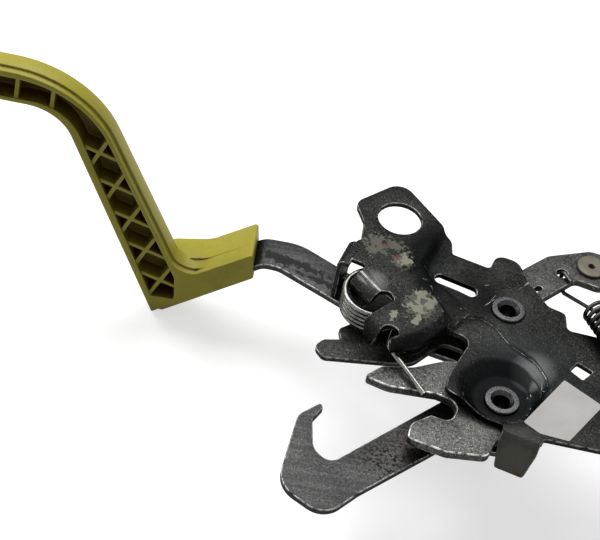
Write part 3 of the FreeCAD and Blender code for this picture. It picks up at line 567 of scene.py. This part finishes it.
def ease(base, width, angles, segments=3, rubbed_and_sheen_value=1.0):
    """Round the edges whose angle lies between two limits, but none that would stray."""
    surface = BVHTree.FromBMesh(base)
    bmesh.ops.dissolve_limit(base, angle_limit=math.radians(FLAT_ANGLE), verts=base.verts,
                             edges=base.edges)
    base.edges.index_update()
    chosen = {}
    for edge in base.edges:
        if edge.is_manifold and angles[0] < math.degrees(edge.calc_face_angle(0.0)) <= angles[1]:
            chosen[edge.index] = [vert.co.copy() for vert in edge.verts]
    for _ in range(EASE_TRIES):
        eased = base.copy()
        eased.edges.ensure_lookup_table()
        layers = eased.faces.layers.float
        rubbed_and_sheen = layers.get(RUBBED_AND_SHEEN) or layers.new(RUBBED_AND_SHEEN)
        made = bmesh.ops.bevel(
            eased, geom=[eased.edges[index] for index in chosen], offset=width,
            offset_type="OFFSET", segments=segments, profile=0.5, affect="EDGES",
            clamp_overlap=False)
        for face in made["faces"]:
            face[rubbed_and_sheen] = rubbed_and_sheen_value
        gaps = {vert: surface.find_nearest(vert.co)[3] for vert in eased.verts}
        stray = {vert for vert, gap in gaps.items() if gap is None or gap > width * STRAY_SHARE}
        if not stray:
            return eased
        spots = [vert.co.copy() for vert in stray
                 if gaps[vert] is not None and gaps[vert] < width * NEAR_SHARE]
        spots += [edge.other_vert(vert).co.copy() for vert in stray for edge in vert.link_edges
                  if edge.other_vert(vert) not in stray]
        if not spots:
            break
        near = KDTree(len(spots))
        for index, spot in enumerate(spots):
            near.insert(spot, index)
        near.balance()
        chosen = {index: ends for index, ends in chosen.items()
                  if min(near.find(end)[2] for end in ends) > width * CLEAR_SHARE}
        eased.free()
    return base.copy()


def split_wide_faces(shape):
    """Split the many-sided faces that easing leaves, so that they shade evenly."""
    bmesh.ops.triangulate(shape, faces=[face for face in shape.faces if len(face.verts) > 4])


def keep_piece(node, body, finish, mesh):
    """A finished mesh as the piece that stands for its node."""
    mesh.materials.clear()
    mesh.materials.append(FINISH[finish])
    piece = bpy.data.objects.new(node + "_finished", mesh)
    bpy.context.scene.collection.objects.link(piece)
    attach(piece, body)
    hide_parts(node)


def dress(node, body, finish, width):
    """A merged copy of the piece with its sharp edges eased."""
    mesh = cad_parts[node].data.copy()
    mesh.name = node + "_eased"
    shape = bmesh.new()
    shape.from_mesh(mesh)
    bmesh.ops.remove_doubles(shape, verts=shape.verts, dist=MERGE_GAP * MM)
    bmesh.ops.dissolve_degenerate(shape, dist=SLIVER * MM, edges=shape.edges)
    if node in FORMED:
        shape = ease(shape, FORMED[node] * MM, FORMED_ANGLES, segments=4, rubbed_and_sheen_value=0.0)
        split_wide_faces(shape)
    if width > 0.0:
        shape = ease(shape, width * MM, SHARP_ANGLES)
        split_wide_faces(shape)
    for face in shape.faces:
        face.smooth = True
    shape.to_mesh(mesh)
    shape.free()
    if "custom_normal" in mesh.attributes:
        mesh.attributes.remove(mesh.attributes["custom_normal"])
    mesh.set_sharp_from_angle(angle=math.radians(SMOOTH_ANGLE))
    keep_piece(node, body, finish, mesh)


# Gap and sliver in millimetres that are merged, and the angle up to which faces shade as one
MERGE_GAP = 0.02
SLIVER = 0.01
SMOOTH_ANGLE = 38.0
# Creases of drawn sheet are eased widely before the cut edges are eased finely
FORMED = {"cover_plate": 1.2}
FORMED_ANGLES = (14.0, 56.0)
SHARP_ANGLES = (56.0, 180.0)

# Node, body, slot, finish and easing width in millimetres
PIECES = [
    ("cover_plate", "housing", "dark_plate", "dark_plate", 0.34),
    ("base_plate", "housing", "zinc_steel", "base_steel", 0.3),
    ("claw_rivet", "housing", "rivet_steel", "rivet_steel", 0.3),
    ("pawl_rivet", "housing", "rivet_steel", "rivet_steel", 0.3),
    ("lever_bush", "housing", "rivet_steel", "rivet_steel", 0.12),
    ("lever_washer", "housing", "rivet_steel", "rivet_steel", 0.12),
    ("claw", "claw", "claw_steel", "claw_steel", 0.42),
    ("pawl_lever", "release", "zinc_steel", "pawl_steel", 0.32),
    ("cable_bush", "release", "cream_plastic", "cream_plastic", 0.25),
    ("safety_lever", "safety", "zinc_steel", "lever_steel", 0.34),
    ("handle", "safety", "yellow_plastic", "yellow_plastic", 0.4),
    ("label", "housing", "label_paper", "label_paper", 0.0),
]
for node, body, slot, finish, width in PIECES:
    dress(node, body, finish, width)


# Springs: a coil by formula, joined to its legs and swept with the wire's section
COIL_STEPS = 40
BEND_STEPS = 6
WIRE_SIDES = 16


def make_spring_tree():
    """Geometry Nodes tree that winds a coil, joins the given legs and sweeps the wire."""
    tree = bpy.data.node_groups.new("spring", "GeometryNodeTree")
    for title, kind in (
            ("Legs", "NodeSocketGeometry"), ("Wire radius", NUMBER), ("Coil radius", NUMBER),
            ("Pitch", NUMBER), ("Turns", NUMBER), ("Way", NUMBER), ("Start angle", NUMBER),
            ("Base", PLACE), ("Tilt", PLACE), ("Leg bend", NUMBER),
            ("Finish", "NodeSocketMaterial")):
        tree.interface.new_socket(title, in_out="INPUT", socket_type=kind)
    tree.interface.new_socket("Spring", in_out="OUTPUT", socket_type="NodeSocketGeometry")
    given = tree.nodes.new("NodeGroupInput").outputs
    count = calc(tree, "ADD", calc(tree, "MULTIPLY", given["Turns"], COIL_STEPS), 1.0)
    line = add(tree, "GeometryNodeMeshLine", {"Count": count})
    step = calc(tree, "DIVIDE", add(tree, "GeometryNodeInputIndex").outputs[0], COIL_STEPS)
    angle = calc(tree, "ADD", given["Start angle"],
                 calc(tree, "MULTIPLY", calc(tree, "MULTIPLY", step, 2.0 * math.pi), given["Way"]))
    place = add(tree, "ShaderNodeCombineXYZ", {
        "X": calc(tree, "MULTIPLY", given["Coil radius"], calc(tree, "COSINE", angle)),
        "Y": calc(tree, "MULTIPLY", given["Coil radius"], calc(tree, "SINE", angle)),
        "Z": calc(tree, "MULTIPLY", given["Pitch"], step)})
    wound = add(tree, "GeometryNodeSetPosition", {
        "Geometry": line.outputs[0], "Position": place.outputs[0]})
    placed = add(tree, "GeometryNodeTransform", {
        "Geometry": wound.outputs[0], "Translation": given["Base"], "Rotation": given["Tilt"]})
    legs = add(tree, "GeometryNodeMeshToCurve", {"Mesh": given["Legs"]})
    bent = add(tree, "GeometryNodeFilletCurve", {
        "Curve": legs.outputs[0], "Radius": given["Leg bend"], "Limit Radius": True,
        "Count": BEND_STEPS}, mode="POLY")
    thin = add(tree, "GeometryNodeCurveToMesh", {"Curve": bent.outputs[0]})
    joined = tree.nodes.new("GeometryNodeJoinGeometry")
    tree.links.new(placed.outputs[0], joined.inputs[0])
    tree.links.new(thin.outputs[0], joined.inputs[0])
    merged = add(tree, "GeometryNodeMergeByDistance", {
        "Geometry": joined.outputs[0], "Distance": 0.05 * MM})
    path = add(tree, "GeometryNodeMeshToCurve", {"Mesh": merged.outputs[0]})
    section = add(tree, "GeometryNodeCurvePrimitiveCircle", {
        "Resolution": WIRE_SIDES, "Radius": given["Wire radius"]})
    wire = add(tree, "GeometryNodeCurveToMesh", {
        "Curve": path.outputs[0], "Profile Curve": section.outputs[0], "Fill Caps": True})
    smooth = add(tree, "GeometryNodeSetShadeSmooth", {"Geometry": wire.outputs[0]})
    real = add(tree, "GeometryNodeRealizeInstances", {"Geometry": smooth.outputs[0]})
    done = add(tree, "GeometryNodeSetMaterial", {
        "Geometry": real.outputs[0], "Material": given["Finish"]})
    end = tree.nodes.new("NodeGroupOutput")
    tree.links.new(done.outputs[0], end.inputs[0])
    return tree


def wind_spring(tree, node, finish, legs, values):
    """Run the spring tree on its legs and keep the result as a plain mesh."""
    mesh = bpy.data.meshes.new(node + "_legs")
    points = []
    edges = []
    for leg in legs:
        edges += [(len(points) + i, len(points) + i + 1) for i in range(len(leg) - 1)]
        points += leg
    mesh.from_pydata(points, edges, [])
    carrier = bpy.data.objects.new(node + "_legs", mesh)
    bpy.context.scene.collection.objects.link(carrier)
    modifier = carrier.modifiers.new("spring", "NODES")
    modifier.node_group = tree
    sockets = {item.name: item.identifier for item in tree.interface.items_tree}
    for title, value in values.items():
        modifier[sockets[title]] = value
    modifier[sockets["Finish"]] = FINISH[finish]
    seen = carrier.evaluated_get(bpy.context.evaluated_depsgraph_get())
    wire = bpy.data.meshes.new_from_object(seen)
    wire.name = node + "_wound"
    bpy.data.objects.remove(carrier)
    shape = bmesh.new()
    shape.from_mesh(wire)
    bmesh.ops.recalc_face_normals(shape, faces=shape.faces)
    shape.to_mesh(wire)
    shape.free()
    keep_piece(node, "housing", finish, wire)


def make_claw_spring(tree):
    """Torsion spring round the drum tab: a leg through the side flap and a leg down to the claw."""
    radius, low, top, turns = 10.3, -9.0, 0.9, 5.25
    x, y = -53.8, 21.3
    fixed = [at(-70.8, y + radius, low), at(x, y + radius, low)]
    work = [at(x + radius, y, top), at(-41.7, 2.8, -2.4), at(-24.2, -8.9, -5.2)]
    wind_spring(tree, "claw_spring", "bright_wire", [fixed, work], {
        "Wire radius": 0.9 * MM, "Coil radius": radius * MM, "Pitch": (top - low) / turns * MM,
        "Turns": turns, "Way": -1.0, "Start angle": math.radians(90.0), "Base": at(x, y, low),
        "Tilt": (0.0, 0.0, 0.0), "Leg bend": 2.5 * MM})


def make_pawl_spring(tree):
    """Tension spring of the release lever, from the lever's eye to the anchor hole."""
    radius, pitch, turns, lift = 3.8, 2.2, 10.0, 4.85
    start = Vector((15.2, 49.0, lift))
    finish = Vector((34.0, 30.6, lift))
    way = (finish - start).normalized()
    base = (start + finish) / 2.0 - way * (pitch * turns / 2.0)
    tilt = Vector((0.0, 0.0, 1.0)).rotation_difference(way)
    first = base + tilt @ Vector((radius, 0.0, 0.0))
    last = first + way * (pitch * turns)
    hook = [at(*first), at(5.6, 61.6, -6.4), at(2.6, 66.6, -6.4), at(2.6, 66.6, -1.2),
            at(6.6, 62.8, -1.2)]
    tail = [at(*last), at(36.0, 26.0, last.z), at(36.0, 26.0, -3.0)]
    wind_spring(tree, "pawl_spring", "dark_wire", [hook, tail], {
        "Wire radius": 0.75 * MM, "Coil radius": radius * MM, "Pitch": pitch * MM, "Turns": turns,
        "Way": 1.0, "Start angle": 0.0, "Base": at(*base), "Tilt": tuple(tilt.to_euler()),
        "Leg bend": 1.2 * MM})


SPRING_TREE = make_spring_tree()
make_claw_spring(SPRING_TREE)
make_pawl_spring(SPRING_TREE)


# Camera at the photograph's place
CAMERA_AT = Vector((0.06501, -0.39167, 0.36382))
CAMERA_RIGHT = Vector((0.91653, 0.37409, 0.14149))
CAMERA_UP = Vector((-0.36200, 0.62547, 0.69119))
CAMERA_BACK = Vector((0.17007, -0.68472, 0.70869))
LENS = 90.0
SENSOR = 36.0

camera_data = bpy.data.cameras.new("camera")
camera_data.lens = LENS
camera_data.sensor_width = SENSOR
camera_data.sensor_fit = "HORIZONTAL"
camera_data.clip_start = 0.01
camera_data.clip_end = 20.0
camera = bpy.data.objects.new("camera", camera_data)
turn = Matrix((CAMERA_RIGHT, CAMERA_UP, CAMERA_BACK)).transposed().to_4x4()
camera.matrix_world = Matrix.Translation(CAMERA_AT) @ turn
bpy.context.scene.collection.objects.link(camera)
bpy.context.scene.camera = camera


# Floor, lamps and the room
WHITE = (1.0, 1.0, 1.0, 1.0)
FLOOR_HALF = 4.0
FLOOR_GLOW = 0.62
ROOM_LIGHT = 0.24
LAMPS_AIM = (0.03, 0.0, 0.0)


def seen_directly(tree):
    """1 for what the camera, a gloss or a glass sees, and 0 for what only lights."""
    rays = add(tree, "ShaderNodeLightPath").outputs
    return calc(tree, "MAXIMUM", rays["Is Camera Ray"],
                calc(tree, "MAXIMUM", rays["Is Glossy Ray"], rays["Is Transmission Ray"]))


def make_floor():
    """A plain pale floor just below the latch."""
    low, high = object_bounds()
    middle = (low + high) / 2
    mesh = bpy.data.meshes.new("floor")
    level = low.z - 0.5 * MM
    corners = [(middle.x + x * FLOOR_HALF, middle.y + y * FLOOR_HALF, level)
               for x, y in ((-1, -1), (1, -1), (1, 1), (-1, 1))]
    mesh.from_pydata(corners, [], [(0, 1, 2, 3)])
    floor = bpy.data.objects.new("floor", mesh)
    bpy.context.scene.collection.objects.link(floor)
    made, tree, shader = new_material("floor")
    shader.inputs["Base Color"].default_value = (0.55, 0.55, 0.55, 1.0)
    shader.inputs["Roughness"].default_value = 0.9
    shader.inputs["Specular IOR Level"].default_value = 0.1
    glow = add(tree, "ShaderNodeEmission", {
        "Color": WHITE, "Strength": calc(tree, "MULTIPLY", seen_directly(tree), FLOOR_GLOW)})
    both = add(tree, "ShaderNodeAddShader", {0: shader.outputs[0], 1: glow.outputs[0]})
    tree.links.new(both.outputs[0], tree.nodes["Material Output"].inputs["Surface"])
    mesh.materials.append(made)


def make_lamp(name, place, size, power):
    """A soft rectangular lamp that points at the latch."""
    data = bpy.data.lights.new(name, "AREA")
    data.shape = "RECTANGLE"
    data.size, data.size_y = size
    data.energy = power
    lamp = bpy.data.objects.new(name, data)
    way = (Vector(LAMPS_AIM) - Vector(place)).normalized()
    turned = way.to_track_quat("-Z", "Y").to_matrix().to_4x4()
    lamp.matrix_world = Matrix.Translation(place) @ turned
    bpy.context.scene.collection.objects.link(lamp)


def make_room():
    """White surroundings that light the latch softly."""
    world = bpy.data.worlds.new("room")
    world.use_nodes = True
    tree = world.node_tree
    tree.nodes.clear()
    light = remap(tree, seen_directly(tree), 0.0, 1.0, ROOM_LIGHT, 1.0)
    sky = add(tree, "ShaderNodeBackground", {"Color": WHITE, "Strength": light})
    end = add(tree, "ShaderNodeOutputWorld")
    tree.links.new(sky.outputs[0], end.inputs["Surface"])
    bpy.context.scene.world = world


make_floor()
make_lamp("lamp_above", (-0.10, 0.34, 0.72), (0.6, 0.45), 5.4)
make_lamp("lamp_left", (-0.54, 0.02, 0.57), (0.24, 0.24), 2.6)
make_room()
bpy.context.scene.view_settings.view_transform = "Standard"
